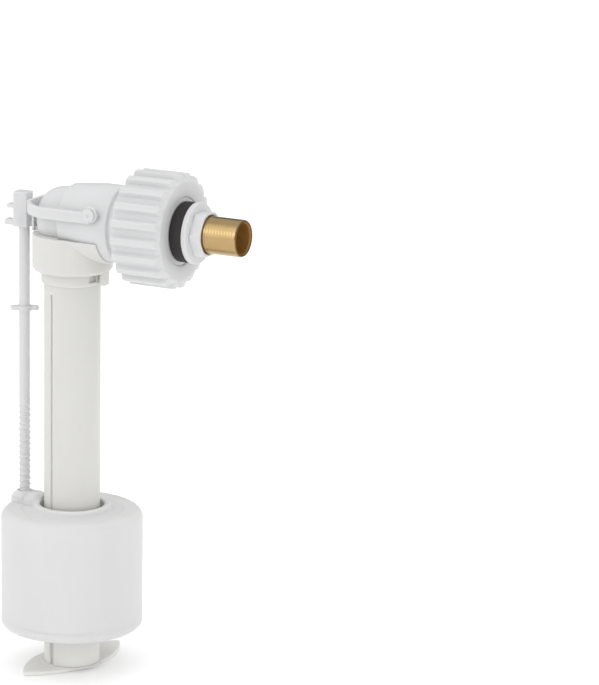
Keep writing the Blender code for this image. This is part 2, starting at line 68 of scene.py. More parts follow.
TAU = 2 * math.pi
FLOAT_STEPS = 180  # facets round the float
STEPS = 128  # round a large turned piece
TURN = 96  # round a middling one
SMALL = 64  # round the rod, the pins and the catch
FEW = 48  # round a small one
GAP = 0.0003  # the CAD's running gap between neighbours
BITE = 0.001  # how far a cutting tool runs past the surface it opens
TAIL_R = 0.01045
TAIL_BORE_R = 0.0079

tube_low, tube_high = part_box("outlet_tube")
AX = (tube_low.x + tube_high.x) / 2  # the outlet tube's axis
rod_low, rod_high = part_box("float_rod")
RX = (rod_low.x + rod_high.x) / 2  # the float rod's axis


# ---------------------------------------------------------------- shapes
def rounded(points, count=6):
    """A closed outline of (a, b, radius) corners, with an arc of that radius at each."""
    out = []
    total = len(points)
    for i, (a, b, radius) in enumerate(points):
        here = Vector((a, b))
        if radius <= 0:
            out.append((a, b))
            continue
        before = Vector(points[i - 1][:2]) - here
        after = Vector(points[(i + 1) % total][:2]) - here
        u, v = before.normalized(), after.normalized()
        half = math.acos(max(-1, min(1, u.dot(v)))) / 2
        if half > math.radians(88):
            out.append((a, b))
            continue
        reach = min(radius / math.tan(half), 0.48 * before.length, 0.48 * after.length)
        radius = reach * math.tan(half)
        centre = here + (u + v).normalized() * (radius / math.sin(half))
        start, end = here + u * reach - centre, here + v * reach - centre
        turn = math.atan2(start.x * end.y - start.y * end.x, start.dot(end))
        for k in range(count + 1):
            t = turn * k / count
            x = start.x * math.cos(t) - start.y * math.sin(t)
            y = start.x * math.sin(t) + start.y * math.cos(t)
            out.append((centre.x + x, centre.y + y))
    return out


def lathe(profile, axis="Z", centre=(0, 0, 0), steps=STEPS, shape=None):
    """A bmesh turned from a closed profile of (radius, distance along the axis) points."""
    bm = bmesh.new()
    rings = []
    for radius, along in profile:
        if radius < 1e-7:
            rings.append([bm.verts.new((0, 0, along))])
            continue
        ring = []
        for i in range(steps):
            angle = TAU * i / steps
            r = shape(angle, radius, along) if shape else radius
            ring.append(bm.verts.new((r * math.cos(angle), r * math.sin(angle), along)))
        rings.append(ring)
    for first, second in zip(rings, rings[1:] + rings[:1]):
        if len(first) == 1 and len(second) == 1:
            continue
        for i in range(steps):
            j = (i + 1) % steps
            corners = [first[i % len(first)], first[j % len(first)]]
            corners += [second[j % len(second)], second[i % len(second)]]
            bm.faces.new(list(dict.fromkeys(corners)))
    turns = {
        "X": Matrix.Rotation(math.radians(90), 4, "Y"),
        "Y": Matrix.Rotation(math.radians(-90), 4, "X"),
        "Z": Matrix.Identity(4),
    }
    bmesh.ops.transform(bm, matrix=Matrix.Translation(centre) @ turns[axis], verts=bm.verts)
    bmesh.ops.recalc_face_normals(bm, faces=bm.faces)
    return bm


def rod(radius, low, high, axis="Z", centre=(0, 0, 0), steps=FEW):
    return lathe([(0, low), (radius, low), (radius, high), (0, high)], axis, centre, steps)


def block(x, y, z, turn_deg=0.0, about=(0, 0, 0), ease=0.0):
    """A box between three (low, high) pairs, its edges eased, turned about the vertical through about."""
    bm = bmesh.new()
    bmesh.ops.create_cube(bm, size=1.0)
    size = Vector((x[1] - x[0], y[1] - y[0], z[1] - z[0]))
    middle = Vector((sum(x) / 2, sum(y) / 2, sum(z) / 2))
    bmesh.ops.scale(bm, vec=size, verts=bm.verts)
    bmesh.ops.translate(bm, vec=middle, verts=bm.verts)
    if ease:
        bmesh.ops.bevel(bm, geom=bm.edges[:], offset=ease, segments=2, profile=0.5, affect="EDGES")
    matrix = Matrix.Rotation(math.radians(turn_deg), 3, "Z")
    bmesh.ops.rotate(bm, cent=about, matrix=matrix, verts=bm.verts)
    return bm


def prism(outline, low, high):
    """A closed outline in the XY plane, extruded from low to high."""
    bm = bmesh.new()
    face = bm.faces.new([bm.verts.new((x, y, low)) for x, y in outline])
    grown = bmesh.ops.extrude_face_region(bm, geom=[face])
    moved = [item for item in grown["geom"] if isinstance(item, bmesh.types.BMVert)]
    bmesh.ops.translate(bm, vec=(0, 0, high - low), verts=moved)
    bmesh.ops.recalc_face_normals(bm, faces=bm.faces)
    return bm


def band(outer, inner, low, high, radius):
    """A strip between two matching lines in plan, from low to high, with rounded edges."""
    bm = bmesh.new()
    rings = []
    for a, b in zip(outer, inner):
        a, b = Vector(a), Vector(b)
        wide = (b - a).length
        across = (b - a) / wide
        corners = [(0, low), (wide, low), (wide, high), (0, high)]
        section = rounded([(*corner, radius) for corner in corners], 4)
        rings.append([bm.verts.new((*(a + across * t), z)) for t, z in section])
    for first, second in zip(rings, rings[1:]):
        for i, vert in enumerate(first):
            j = (i + 1) % len(first)
            bm.faces.new((vert, first[j], second[j], second[i]))
    bm.faces.new(rings[0])
    bm.faces.new(rings[-1])
    bmesh.ops.recalc_face_normals(bm, faces=bm.faces)
    return bm


def new_object(name, bm):
    mesh = bpy.data.meshes.new(name)
    bm.to_mesh(mesh)
    bm.free()
    obj = bpy.data.objects.new(name, mesh)
    bpy.context.scene.collection.objects.link(obj)
    return obj


def bake(obj):
    """Applies every modifier of obj to its mesh."""
    bpy.context.view_layer.update()
    evaluated = obj.evaluated_get(bpy.context.evaluated_depsgraph_get())
    mesh = bpy.data.meshes.new_from_object(evaluated)
    old = obj.data
    obj.modifiers.clear()
    obj.data = mesh
    bpy.data.meshes.remove(old)


def combine(obj, operation, *tools):
    helpers = []
    for bm in tools:
        tool = new_object(obj.name + "_tool", bm)
        modifier = obj.modifiers.new(operation, "BOOLEAN")
        modifier.operation = operation
        modifier.object = tool
        modifier.solver = "EXACT"
        helpers.append(tool)
    bake(obj)
    for tool in helpers:
        mesh = tool.data
        bpy.data.objects.remove(tool)
        bpy.data.meshes.remove(mesh)


def carved(bm, *tools):
    """The shape bm with the tools cut out of it."""
    obj = new_object("carved", bm)
    combine(obj, "DIFFERENCE", *tools)
    out = bmesh.new()
    out.from_mesh(obj.data)
    mesh = obj.data
    bpy.data.objects.remove(obj)
    bpy.data.meshes.remove(mesh)
    return out


def soften(obj, width, segments=3, angle=40):
    bevel = obj.modifiers.new("edges", "BEVEL")
    bevel.width = width
    bevel.segments = segments
    bevel.limit_method = "ANGLE"
    bevel.angle_limit = math.radians(angle)
    bevel.use_clamp_overlap = True
    bevel.miter_outer = "MITER_ARC"
    bake(obj)


def settle(obj, body, slot, nodes, sharp=32):
    """Triangulates and smooths a finished piece, gives it the material of its slot, parents it to the body
    it moves with and hides the CAD parts it stands for.
    """
    bm = bmesh.new()
    bm.from_mesh(obj.data)
    bmesh.ops.triangulate(bm, faces=[face for face in bm.faces if len(face.verts) > 4])
    bm.to_mesh(obj.data)
    bm.free()
    obj.data.shade_smooth()
    obj.data.set_sharp_from_angle(angle=math.radians(sharp))
    obj.data.materials.clear()
    obj.data.materials.append(MATERIALS[slot])
    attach(obj, body)
    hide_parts(*nodes)


# ---------------------------------------------------------------- materials
def start_material(name):
    made = bpy.data.materials.new(name)
    made.use_nodes = True
    tree = made.node_tree
    shader = tree.nodes["Principled BSDF"]
    place = tree.nodes.new("ShaderNodeTexCoord").outputs["Object"]
    return made, tree, shader, place


def noise(tree, place, scale, detail=2.0, stretch=(1, 1, 1)):
    mapping = tree.nodes.new("ShaderNodeMapping")
    mapping.inputs["Scale"].default_value = stretch
    texture = tree.nodes.new("ShaderNodeTexNoise")
    texture.inputs["Scale"].default_value = scale
    texture.inputs["Detail"].default_value = detail
    tree.links.new(place, mapping.inputs["Vector"])
    tree.links.new(mapping.outputs["Vector"], texture.inputs["Vector"])
    return texture.outputs["Fac"]


def ramp(tree, factor, stops):
    node = tree.nodes.new("ShaderNodeValToRGB")
    elements = node.color_ramp.elements
    while len(elements) < len(stops):
        elements.new(0.5)
    for element, (position, colour) in zip(elements, stops):
        element.position = position
        element.color = (*colour, 1.0)
    tree.links.new(factor, node.inputs["Fac"])
    return node.outputs["Color"]


def spread(tree, factor, low, high):
    node = tree.nodes.new("ShaderNodeMapRange")
    node.inputs["From Min"].default_value = 0.3
    node.inputs["From Max"].default_value = 0.7
    node.inputs["To Min"].default_value = low
    node.inputs["To Max"].default_value = high
    tree.links.new(factor, node.inputs["Value"])
    return node.outputs["Result"]


def bump(tree, shader, height, strength, distance):
    node = tree.nodes.new("ShaderNodeBump")
    node.inputs["Strength"].default_value = strength
    node.inputs["Distance"].default_value = distance
    tree.links.new(height, node.inputs["Height"])
    tree.links.new(node.outputs["Normal"], shader.inputs["Normal"])


def shade(colour, factor):
    return tuple(min(1.0, c * factor) for c in colour)


def plastic(name, colour, roughness, grain=1600, foot_painted_light=1.0):
    """Moulded plastic: faint flow marks, uneven gloss and a fine skin.

    At the outlet's foot its colour is multiplied by the last argument: painted light, lifting the shade
    that the float casts there.
    """
    made, tree, shader, place = start_material(name)
    marks = noise(tree, place, 38, 4.0, (1, 1, 0.25))
    stops = [(0.30, shade(colour, 0.975)), (0.55, colour), (0.75, shade(colour, 1.02))]
    apart = tree.nodes.new("ShaderNodeSeparateXYZ")
    tree.links.new(place, apart.inputs[0])
    # Painted light: over the lowest 22 mm of the outlet the colour is brightened, where the float above
    # shades the foot.
    foot_light_ramp = tree.nodes.new("ShaderNodeMapRange")
    foot_light_ramp.interpolation_type = "SMOOTHSTEP"
    foot_light_ramp.inputs["From Min"].default_value = tube_low.z + 0.022
    foot_light_ramp.inputs["From Max"].default_value = tube_low.z + 0.002
    foot_light_ramp.inputs["To Min"].default_value = 1.0
    foot_light_ramp.inputs["To Max"].default_value = foot_painted_light
    tree.links.new(apart.outputs["Z"], foot_light_ramp.inputs["Value"])
    scaled = tree.nodes.new("ShaderNodeVectorMath")
    scaled.operation = "SCALE"
    tree.links.new(ramp(tree, marks, stops), scaled.inputs[0])
    tree.links.new(foot_light_ramp.outputs["Result"], scaled.inputs["Scale"])
    tree.links.new(scaled.outputs["Vector"], shader.inputs["Base Color"])
    cloudy = noise(tree, place, 120, 3.0)
    tree.links.new(spread(tree, cloudy, roughness - 0.05, roughness + 0.06), shader.inputs["Roughness"])
    bump(tree, shader, noise(tree, place, grain, 2.0), 0.10, 0.00012)
    shader.inputs["Specular IOR Level"].default_value = 0.32
    shader.inputs["Subsurface Weight"].default_value = 0.30
    shader.inputs["Subsurface Radius"].default_value = (1.0, 0.95, 0.85)
    shader.inputs["Subsurface Scale"].default_value = 0.0030
    return made


def brass(name):
    """Turned brass: tool marks round the inlet axis, uneven tarnish, a duller bore whose darker colour is
    painted shade, and an end face painted dark as shade.
    """
    made, tree, shader, place = start_material(name)
    end_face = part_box("inlet_tail")[1].x
    shader.inputs["Metallic"].default_value = 1.0
    flat = tree.nodes.new("ShaderNodeMapping")
    flat.inputs["Scale"].default_value = (0.0, 1.0, 1.0)
    reach = tree.nodes.new("ShaderNodeVectorMath")
    reach.operation = "LENGTH"
    tree.links.new(place, flat.inputs["Vector"])
    tree.links.new(flat.outputs["Vector"], reach.inputs[0])
    outside = tree.nodes.new("ShaderNodeMapRange")
    outside.inputs["From Min"].default_value = TAIL_R - 0.0007
    outside.inputs["From Max"].default_value = TAIL_R - 0.0003
    tree.links.new(reach.outputs["Value"], outside.inputs["Value"])
    tarnish = noise(tree, place, 90, 4.0)
    turned = [(0.25, (0.42, 0.28, 0.122)), (0.5, (0.475, 0.332, 0.155)), (0.8, (0.515, 0.362, 0.175))]
    # Painted shade: inside the bore and countersink the colour is darker and more orange than on the
    # turned outside.
    bore_painted_shade = [(0.3, (0.44, 0.25, 0.07)), (0.7, (0.51, 0.295, 0.09))]
    # Painted shade: the colour given to the tail's end face.
    end_painted_shade = [(0.3, (0.13, 0.075, 0.025)), (0.7, (0.20, 0.12, 0.045))]
    colour = tree.nodes.new("ShaderNodeMix")
    colour.data_type = "RGBA"
    tree.links.new(outside.outputs["Result"], colour.inputs["Factor"])
    tree.links.new(ramp(tree, tarnish, bore_painted_shade), colour.inputs["A"])
    tree.links.new(ramp(tree, tarnish, turned), colour.inputs["B"])
    along = tree.nodes.new("ShaderNodeSeparateXYZ")
    tree.links.new(place, along.inputs[0])
    # Painted shade on the end face: the last 0.9 mm of the tail blends to the dark end colour.
    cut = tree.nodes.new("ShaderNodeMapRange")
    cut.inputs["From Min"].default_value = end_face - 0.0009
    cut.inputs["From Max"].default_value = end_face - 0.0002
    tree.links.new(along.outputs["X"], cut.inputs["Value"])
    end = tree.nodes.new("ShaderNodeMix")
    end.data_type = "RGBA"
    tree.links.new(cut.outputs["Result"], end.inputs["Factor"])
    tree.links.new(colour.outputs["Result"], end.inputs["A"])
    tree.links.new(ramp(tree, tarnish, end_painted_shade), end.inputs["B"])
    tree.links.new(end.outputs["Result"], shader.inputs["Base Color"])
    lines = noise(tree, place, 900, 3.0, (3.0, 0.10, 0.10))
    polished = spread(tree, lines, 0.14, 0.26)
    rough = tree.nodes.new("ShaderNodeMix")
    rough.inputs["A"].default_value = 0.62
    tree.links.new(outside.outputs["Result"], rough.inputs["Factor"])
    tree.links.new(polished, rough.inputs["B"])
    tree.links.new(rough.outputs["Result"], shader.inputs["Roughness"])
    bump(tree, shader, lines, 0.10, 0.00006)
    return made


def rubber(name, colour):
    made, tree, shader, place = start_material(name)
    bloom = noise(tree, place, 140, 5.0)
    stops = [(0.3, shade(colour, 0.8)), (0.55, colour), (0.8, shade(colour, 1.5))]
    tree.links.new(ramp(tree, bloom, stops), shader.inputs["Base Color"])
    tree.links.new(spread(tree, bloom, 0.55, 0.75), shader.inputs["Roughness"])
    bump(tree, shader, noise(tree, place, 1100, 3.0), 0.25, 0.00015)
    return made


def steel(name):
    made, tree, shader, place = start_material(name)
    shader.inputs["Metallic"].default_value = 1.0
    drawn = noise(tree, place, 1200, 2.0, (0.05, 1.0, 1.0))
    stops = [(0.3, (0.50, 0.50, 0.51)), (0.7, (0.64, 0.64, 0.65))]
    tree.links.new(ramp(tree, drawn, stops), shader.inputs["Base Color"])
    tree.links.new(spread(tree, drawn, 0.25, 0.4), shader.inputs["Roughness"])
    bump(tree, shader, drawn, 0.1, 0.00004)
    return made


MATERIALS = {
    "cool_plastic": plastic("cool_plastic_look", (0.668, 0.671, 0.677), 0.40),
    "float_plastic": plastic("float_plastic_look", (0.695, 0.695, 0.695), 0.46, 1300),
    "warm_plastic": plastic("warm_plastic_look", (0.685, 0.680, 0.655), 0.38, 1600, 1.22),
    "brass": brass("brass_look"),
    "rubber": rubber("rubber_look", (0.020, 0.017, 0.016)),
    "steel": steel("steel_look"),
    "blue_plastic": plastic("blue_plastic_look", (0.05, 0.13, 0.38), 0.42),
}


# ---------------------------------------------------------------- inlet
TAIL_PITCH = 0.001814  # 14 threads per inch
TAIL_THREAD_DEPTH = 0.00007


def inlet_tail():
    low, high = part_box("inlet_tail")
    flange_r = (high.y - low.y) / 2
    shoulder = low.x + 0.003
    start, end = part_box("wall_washer")[0].x, high.x - 0.0012

    def thread(angle, radius, along):
        if abs(radius - TAIL_R) > 1e-6:
            return radius
        run_in, run_out = (along - start) / TAIL_PITCH, (end + 0.0006 - along) / TAIL_PITCH
        fade = min(1.0, max(0.0, run_in), max(0.0, run_out))
        phase = (along / TAIL_PITCH - angle / TAU) % 1.0
        groove = math.exp(-(((phase - 0.5) / 0.12) ** 2))
        return radius - TAIL_THREAD_DEPTH * fade * groove

    profile = rounded([
        (TAIL_BORE_R, low.x, 0.0002),
        (flange_r, low.x, 0.0004),
        (flange_r, shoulder, 0.0003),
        (TAIL_R, shoulder, 0),
    ], 3)
    count = int((end - shoulder) / (TAIL_PITCH / 12))
    profile += [(TAIL_R, shoulder + (end - shoulder) * i / count) for i in range(1, count + 1)]
    profile += rounded([
        (TAIL_R - 0.0001, end + 0.0004, 0),
        (TAIL_R - 0.0006, high.x, 0.0002),
        (TAIL_R - 0.0010, high.x, 0.0002),
        (TAIL_BORE_R + 0.0008, high.x - 0.0012, 0.0006),
        (TAIL_BORE_R + 0.0007, high.x - 0.0080, 0),
        (TAIL_BORE_R, high.x - 0.0100, 0),
    ], 3)
    obj = new_object("Brass_tail", lathe(profile, "X", shape=thread))
    settle(obj, "valve", "brass", ["inlet_tail"])


def wall_washer():
    low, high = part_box("wall_washer")
    outer = (high.y - low.y) / 2
    bore = TAIL_R + GAP
    profile = rounded([
        (bore, low.x, 0.0004),
        (outer, low.x, 0.0009),
        (outer, high.x, 0.0009),
        (bore, high.x, 0.0004),
    ], 5)
    settle(new_object("Rubber_washer", lathe(profile, "X")), "valve", "rubber", ["wall_washer"])


def backnut():
    low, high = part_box("backnut")
    flange_r = (high.y - low.y) / 2
    flange_x = low.x + 0.0030
    flats = 0.0120
    bore = TAIL_R + GAP
    sector = math.pi / 3

    def hexagon(angle, radius, along):
        if not flats - 0.0007 < radius < flats + 0.0001:
            return radius
        a = (angle + sector / 2) % sector - sector / 2
        corner = 1.115 - 0.06 * max(0.0, (along - (high.x - 0.0014)) / 0.0014)
        flat = 1 / math.cos(a)
        soft = -math.log(math.exp(-90 * flat) + math.exp(-90 * corner)) / 90
        return radius * min(flat, max(1.0, soft))

    profile = rounded([
        (bore, low.x, 0.0003),
        (flange_r, low.x, 0.0005),
        (flange_r, flange_x, 0.0008),
        (flats, flange_x, 0.0004),
        (flats, high.x, 0.0006),
        (bore + 0.0006, high.x, 0.0002),
        (bore, high.x - 0.0008, 0),
    ], 5)
    obj = new_object("Wall_backnut", lathe(profile, "X", steps=144, shape=hexagon))
    settle(obj, "backnut", "cool_plastic", ["backnut"])


def inlet_flange():
    low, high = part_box("inlet_flange")
    outer = (high.y - low.y) / 2
    hub = 0.0193
    web = 0.0660 - GAP + AX
    bore = TAIL_R + GAP
    profile = rounded([
        (bore, low.x, 0.0002),
        (outer, low.x, 0.0004),
        (outer, web, 0.0006),
        (hub, web, 0.0003),
        (hub, high.x, 0.0002),
        (bore, high.x, 0.0002),
    ], 4)
    settle(new_object("Tail_flange", lathe(profile, "X")), "valve", "cool_plastic", ["inlet_flange"])


def union_nut():
    low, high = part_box("union_nut")
    rib_r = (high.z - low.z) / 2
    root_r = rib_r - 0.0026
    ribs = 20
    bore = 0.0265
    mouth = 0.0194
    web = 0.0660 + AX
    dish = high.x - 0.0008

    def ribbed(angle, radius, along):
        if radius < 0.0274:
            return radius
        wave = max(-1.0, min(1.0, 1.9 * math.sin(ribs * angle)))
        wave = math.sin(wave * math.pi / 2)
        fade = min(1.0, (radius - 0.0274) / 0.0016)
        near = min(1.0, max(0.0, (along - low.x) / 0.0012), max(0.0, (high.x - along) / 0.0020))
        return radius + (rib_r - root_r) * (0.5 + 0.5 * wave) * fade * math.sqrt(near)

    profile = rounded([
        (bore, low.x, 0.0003),
        (root_r - 0.0012, low.x, 0.0006),
        (root_r, low.x + 0.0014, 0.0008),
        (root_r, (low.x + high.x) / 2, 0),
        (root_r, high.x - 0.0022, 0.0012),
        (root_r - 0.0018, high.x, 0.0012),
        (mouth, dish, 0.0002),
        (mouth, web, 0.0002),
        (bore, web, 0.0003),
    ], 5)
    obj = new_object("Union_nut", lathe(profile, "X", steps=360, shape=ribbed))
    settle(obj, "nut", "cool_plastic", ["union_nut"])


# ---------------------------------------------------------------- head
BARREL_START_R = 0.0200
BARREL_R = 0.0218
CHAMBER_R = 0.0170
PASSAGE_X = AX + 0.0105
PIVOT = Vector((AX + 0.0245, 0, 0.0085))
PIN_R = 0.0024
EYE_R = 0.0046
EYE_INSET = 0.00005  # keeps the eyes' faces off the arms' faces


def head_body():
    low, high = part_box("head_body")
    thread_r = (high.y - low.y) / 2
    neck_r = 0.0200
    shoulder = AX + 0.0330
    neck_end = AX + 0.0388
    profile = rounded([
        (CHAMBER_R, low.x, 0.0003),
        (BARREL_START_R, low.x, 0.0010),
        (BARREL_R, AX + 0.0200, 0.02),
        (BARREL_R, shoulder, 0.0008),
        (neck_r, shoulder + 0.001, 0.0006),
        (neck_r, neck_end, 0.0006),
        (thread_r, neck_end + 0.0004, 0.0005),
        (thread_r, high.x, 0.0006),
        (CHAMBER_R, high.x, 0.0003),
    ], 6)
    obj = new_object("Valve_head", lathe(profile, "X"))
    for side in (-1, 1):
        span = sorted((side * 0.0180, side * 0.0300))
        combine(obj, "DIFFERENCE", rod(PIN_R + GAP, *span, "Y", PIVOT))
    centre = (PASSAGE_X, 0, 0)
    seat = rod(0.0095, AX + 0.0008, AX + 0.0190, "X", steps=TURN)
    passage = rod(0.0085, -0.0260, 0.0, "Z", centre, TURN)
    combine(obj, "UNION", seat, passage)
    seat_bore = rod(0.0070, AX - 0.0012, PASSAGE_X + 0.002, "X")
    passage_bore = rod(0.0065, -0.0280, 0.001, "Z", centre)
    combine(obj, "DIFFERENCE", seat_bore, passage_bore)
    settle(obj, "valve", "cool_plastic", ["head_body"])


def cap_dome():
    """The cap's round end, from its straight side to its tip."""
    low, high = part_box("head_end_cap")
    radius = (high.y - low.y) / 2
    bulge = high.x - low.x - 0.006
    dome = []
    for i in range(28):
        t = math.pi / 2 * (i / 28) ** 0.85
        dome.append((radius * math.cos(t) ** 0.6, high.x - 0.006 - bulge * math.sin(t)))
    return dome + [(0, low.x)]


def head_end_cap():
    low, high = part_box("head_end_cap")
    radius = (high.y - low.y) / 2
    cavity_x = AX - 0.0085
    nozzle_x = AX - 0.0155
    profile = [(0, cavity_x), (0.0160, cavity_x), (0.0160, high.x + GAP), (radius, high.x + GAP)]
    profile += cap_dome()
    obj = new_object("Head_cap", lathe(profile, "X"))
    notch = block((low.x - 0.002, AX - 0.0115), (-0.0052, 0.0052), (-0.0130, -0.0006))
    combine(obj, "DIFFERENCE", notch)
    socket = rod(0.0023, -0.0016, 0.0043, "Z", (nozzle_x, 0, 0))
    duct = rod(0.001, nozzle_x, cavity_x + 0.001, "X", (0, 0, 0.0025), 24)
    pin_hole = rod(0.0008, cavity_x - 0.0025, cavity_x + 0.001, "X", steps=24)
    combine(obj, "DIFFERENCE", socket, duct, pin_hole)
    settle(obj, "valve", "cool_plastic", ["head_end_cap"])


def lever():
    low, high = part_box("lever_yoke")
    y_in, y_out = 0.0223, high.y
    bar = (AX - 0.0242, AX - 0.0222)
    arm_z = (0.0034, 0.0096)

    def both_sides(corners):
        mirrored = [(x, -y, r) for x, y, r in corners]
        return rounded(mirrored + list(reversed(corners)), 8)

    outer = both_sides([
        (PIVOT.x, y_out, 0),
        (AX - 0.0083, y_out, 0.006),
        (AX - 0.0184, 0.0183, 0.005),
        (bar[0], 0.0095, 0.0022),
    ])
    inner = both_sides([
        (PIVOT.x, y_in, 0),
        (AX - 0.0080, y_in, 0.004),
        (AX - 0.0170, 0.0165, 0.004),
        (bar[1], 0.0085, 0.0012),
    ])
    obj = new_object("Pilot_lever", band(outer, inner, *arm_z, 0.0004))
    eyes = []
    for side in (-1, 1):
        ends = (y_in + EYE_INSET, y_out - EYE_INSET)
        profile = rounded([
            (0, ends[0], 0),
            (EYE_R, ends[0], 0.0003),
            (EYE_R, ends[1], 0.0004),
            (0, ends[1], 0),
        ], 3)
        eyes.append(lathe([(r, side * y) for r, y in profile], "Y", PIVOT, SMALL))
    drop_x = (bar[0] + 0.0004, bar[1] - 0.0002)
    ease = 0.0003
    drop = block(drop_x, (-0.005, 0.005), (low.z, 0.0058), ease=ease)
    paddle_x, paddle_z = (drop_x[0] + 0.0005, AX - 0.0121), (low.z + 0.0001, low.z + 0.0024)
    paddle = block(paddle_x, (-0.0035, 0.0035), paddle_z, ease=ease)
    tongue = block((low.x, bar[1] - 0.0005), (-0.0020, 0.0020), (0.0016, 0.0054), ease=ease)
    combine(obj, "UNION", *eyes, drop, paddle, tongue)
    combine(obj, "DIFFERENCE", rod(PIN_R + GAP, -0.030, 0.030, "Y", PIVOT))
    settle(obj, "lever", "cool_plastic", ["lever_yoke"], 45)


def lever_pins():
    for node, side in (("lever_pin_near", -1), ("lever_pin_far", 1)):
        low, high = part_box(node)
        head_r = (high.x - low.x) / 2
        ends = sorted((abs(low.y), abs(high.y)))
        neck = ends[1] - 0.0013
        points = rounded([
            (0, ends[0], 0),
            (PIN_R, ends[0], 0.0004),
            (PIN_R, neck, 0),
            (head_r, neck, 0.0002),
            (head_r, ends[1] - 0.0003, 0.0009),
            (0.0013, ends[1], 0.0006),
            (0.0009, ends[1] - 0.0005, 0.0002),
            (0, ends[1] - 0.0005, 0),
        ], 5)
        pin = lathe([(r, side * y) for r, y in points], "Y", PIVOT, SMALL)
        obj = new_object("Lever_pin_" + ("left" if side < 0 else "right"), pin)
        settle(obj, "valve", "cool_plastic", [node])


# ---------------------------------------------------------------- float rod
ROD_R = 0.0033


def float_rod():
    low, high = rod_low, rod_high
    pitch = 0.0034
    start = -0.1110
    plain = 0.0031
    core = 0.0029
    crest_r = 0.0035
    tab_z = -0.0555

    def thread(angle, radius, along):
        if along > start or radius < plain - 1e-5:
            return radius
        fade = min(1.0, (start - along) / pitch, max(0.0, (along - low.z - 0.0006) / 0.002))
        phase = (along / pitch - angle / TAU) % 1.0
        crest = math.exp(-((min(phase, 1 - phase) / 0.11) ** 2))
        return radius + fade * (core - plain + (crest_r - core) * crest)

    profile = [(0, high.z), (plain - 0.0004, high.z), (plain, high.z - 0.0004)]
    profile += [(plain, tab_z + 0.004), (plain, tab_z - 0.004)]
    count = int((start - low.z) / (pitch / 16))
    profile += [(plain, start - (start - low.z - 0.0008) * i / count) for i in range(count + 1)]
    profile += [(core - 0.0002, low.z + 0.0003), (core - 0.0008, low.z), (0, low.z)]
    obj = new_object("Threaded_float_rod", lathe(profile, "Z", (RX, 0, 0), SMALL, thread))
    half, narrow, corner = 0.0081, 0.0019, 0.0018
    plan = rounded([
        (RX - half, -narrow, corner),
        (RX + half, -narrow, corner),
        (RX + half, narrow, corner),
        (RX - half, narrow, corner),
    ], 6)
    tab = prism(plan, tab_z - 0.0012, tab_z + 0.0012)
    turned = Matrix.Rotation(math.radians(30.0), 3, "Z")
    bmesh.ops.rotate(tab, cent=(RX, 0, 0), matrix=turned, verts=tab.verts)
    disc = rod(0.0040, tab_z - 0.0014, tab_z + 0.0014, "Z", (RX, 0, 0), SMALL)
    combine(obj, "UNION", tab, disc)
    settle(obj, "rod", "cool_plastic", ["float_rod"], 40)


def rod_clip():
    low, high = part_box("rod_clip")
    left, right = RX - 0.0055, high.x
    z0, z1 = low.z, high.z
    corners = [(left, low.y), (right, low.y), (right, high.y), (left, high.y)]
    plan = rounded([(*corner, 0.0010) for corner in corners], 4)
    obj = new_object("Rod_clip", prism(plan, z0, z1))
    ears = []
    for height, thick, reach in ((0.0032, 0.0022, 0.0046), (-0.0062, 0.0032, 0.0060)):
        ear_z = (height - thick / 2, height + thick / 2)
        ears.append(block((left - reach, left + BITE), (-0.0025, 0.0025), ear_z))
    combine(obj, "UNION", *ears)
    window = block((AX - 0.0352, right + 0.001), (-0.0024, 0.0024), (0.0009, 0.0061))
    socket = rod(ROD_R + GAP, z0 - 0.001, -0.0007, "Z", (RX, 0, 0))
    combine(obj, "DIFFERENCE", window, socket)
    soften(obj, 0.0004, 3, 40)
    settle(obj, "rod", "cool_plastic", ["rod_clip"], 45)


# ---------------------------------------------------------------- outlet
def outlet_cup():
    low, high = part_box("outlet_cup")
    z0, z1 = -0.0295, high.z
    radius = 0.0227
    cavity = 0.0195
    mouth = 0.0135
    floor = z0 + 0.003
    profile = rounded([
        (mouth, z0, 0.0003),
        (radius - 0.0015, z0, 0.0008),
        (radius, z0 + 0.0015, 0.0012),
        (radius, z1, 0.0006),
        (0, z1, 0),
        (0, z1 - 0.0015, 0),
        (cavity, z1 - 0.0015, 0),
        (cavity, floor, 0.0010),
        (mouth, floor, 0.0003),
    ], 6)
    obj = new_object("Outlet_cup", lathe(profile, "Z", (AX, 0, 0)))
    key = block((AX + 0.0192, AX + 0.0221), (-0.0030, 0.0030), (low.z, z0 + 0.004))
    saddle = lathe(rounded([
        (0, AX + 0.004, 0),
        (0.0232, AX + 0.004, 0),
        (0.0232, AX + 0.0268, 0.0008),
        (0, AX + 0.0268, 0),
    ]), "X", steps=STEPS)
    above = block((AX - 0.001, AX + 0.030), (-0.030, 0.030), (z1 - 0.0002, 0.030))
    inside = rod(0.0210, -0.030, z1 + 0.001, "Z", (AX, 0, 0), STEPS)
    combine(obj, "UNION", carved(saddle, above, inside), key)
    barrel = rod(BARREL_R - 0.0001, AX + 0.0010, AX + 0.030, "X", steps=STEPS)
    cap = lathe([(0, AX + 0.0011), (cap_dome()[0][0], AX + 0.0011)] + cap_dome(), "X")
    paddle = block((AX - 0.025, AX - 0.0115), (-0.0052, 0.0052), (-0.0130, z1 + 0.001))
    combine(obj, "DIFFERENCE", barrel, cap, paddle)
    settle(obj, "valve", "warm_plastic", ["outlet_cup"], 45)


def tube_collar():
    low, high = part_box("tube_collar")
    outer = (high.y - low.y) / 2
    inner = 0.0158
    profile = rounded([
        (inner, low.z, 0.0002),
        (outer - 0.0004, low.z, 0.0006),
        (outer, low.z + 0.0008, 0.0008),
        (outer, high.z, 0.0007),
        (inner, high.z, 0.0002),
    ], 5)
    obj = new_object("Tube_collar", lathe(profile, "Z", (AX, 0, 0)))
    notch_x, notch_z = (AX + 0.0150, AX + 0.0200), (low.z + 0.0022, high.z + BITE)
    notch = block(notch_x, (-0.0027, 0.0027), notch_z, -19.0, (AX, 0, 0))
    combine(obj, "DIFFERENCE", notch)
    soften(obj, 0.00025, 2, 50)
    settle(obj, "valve", "warm_plastic", ["tube_collar"], 45)


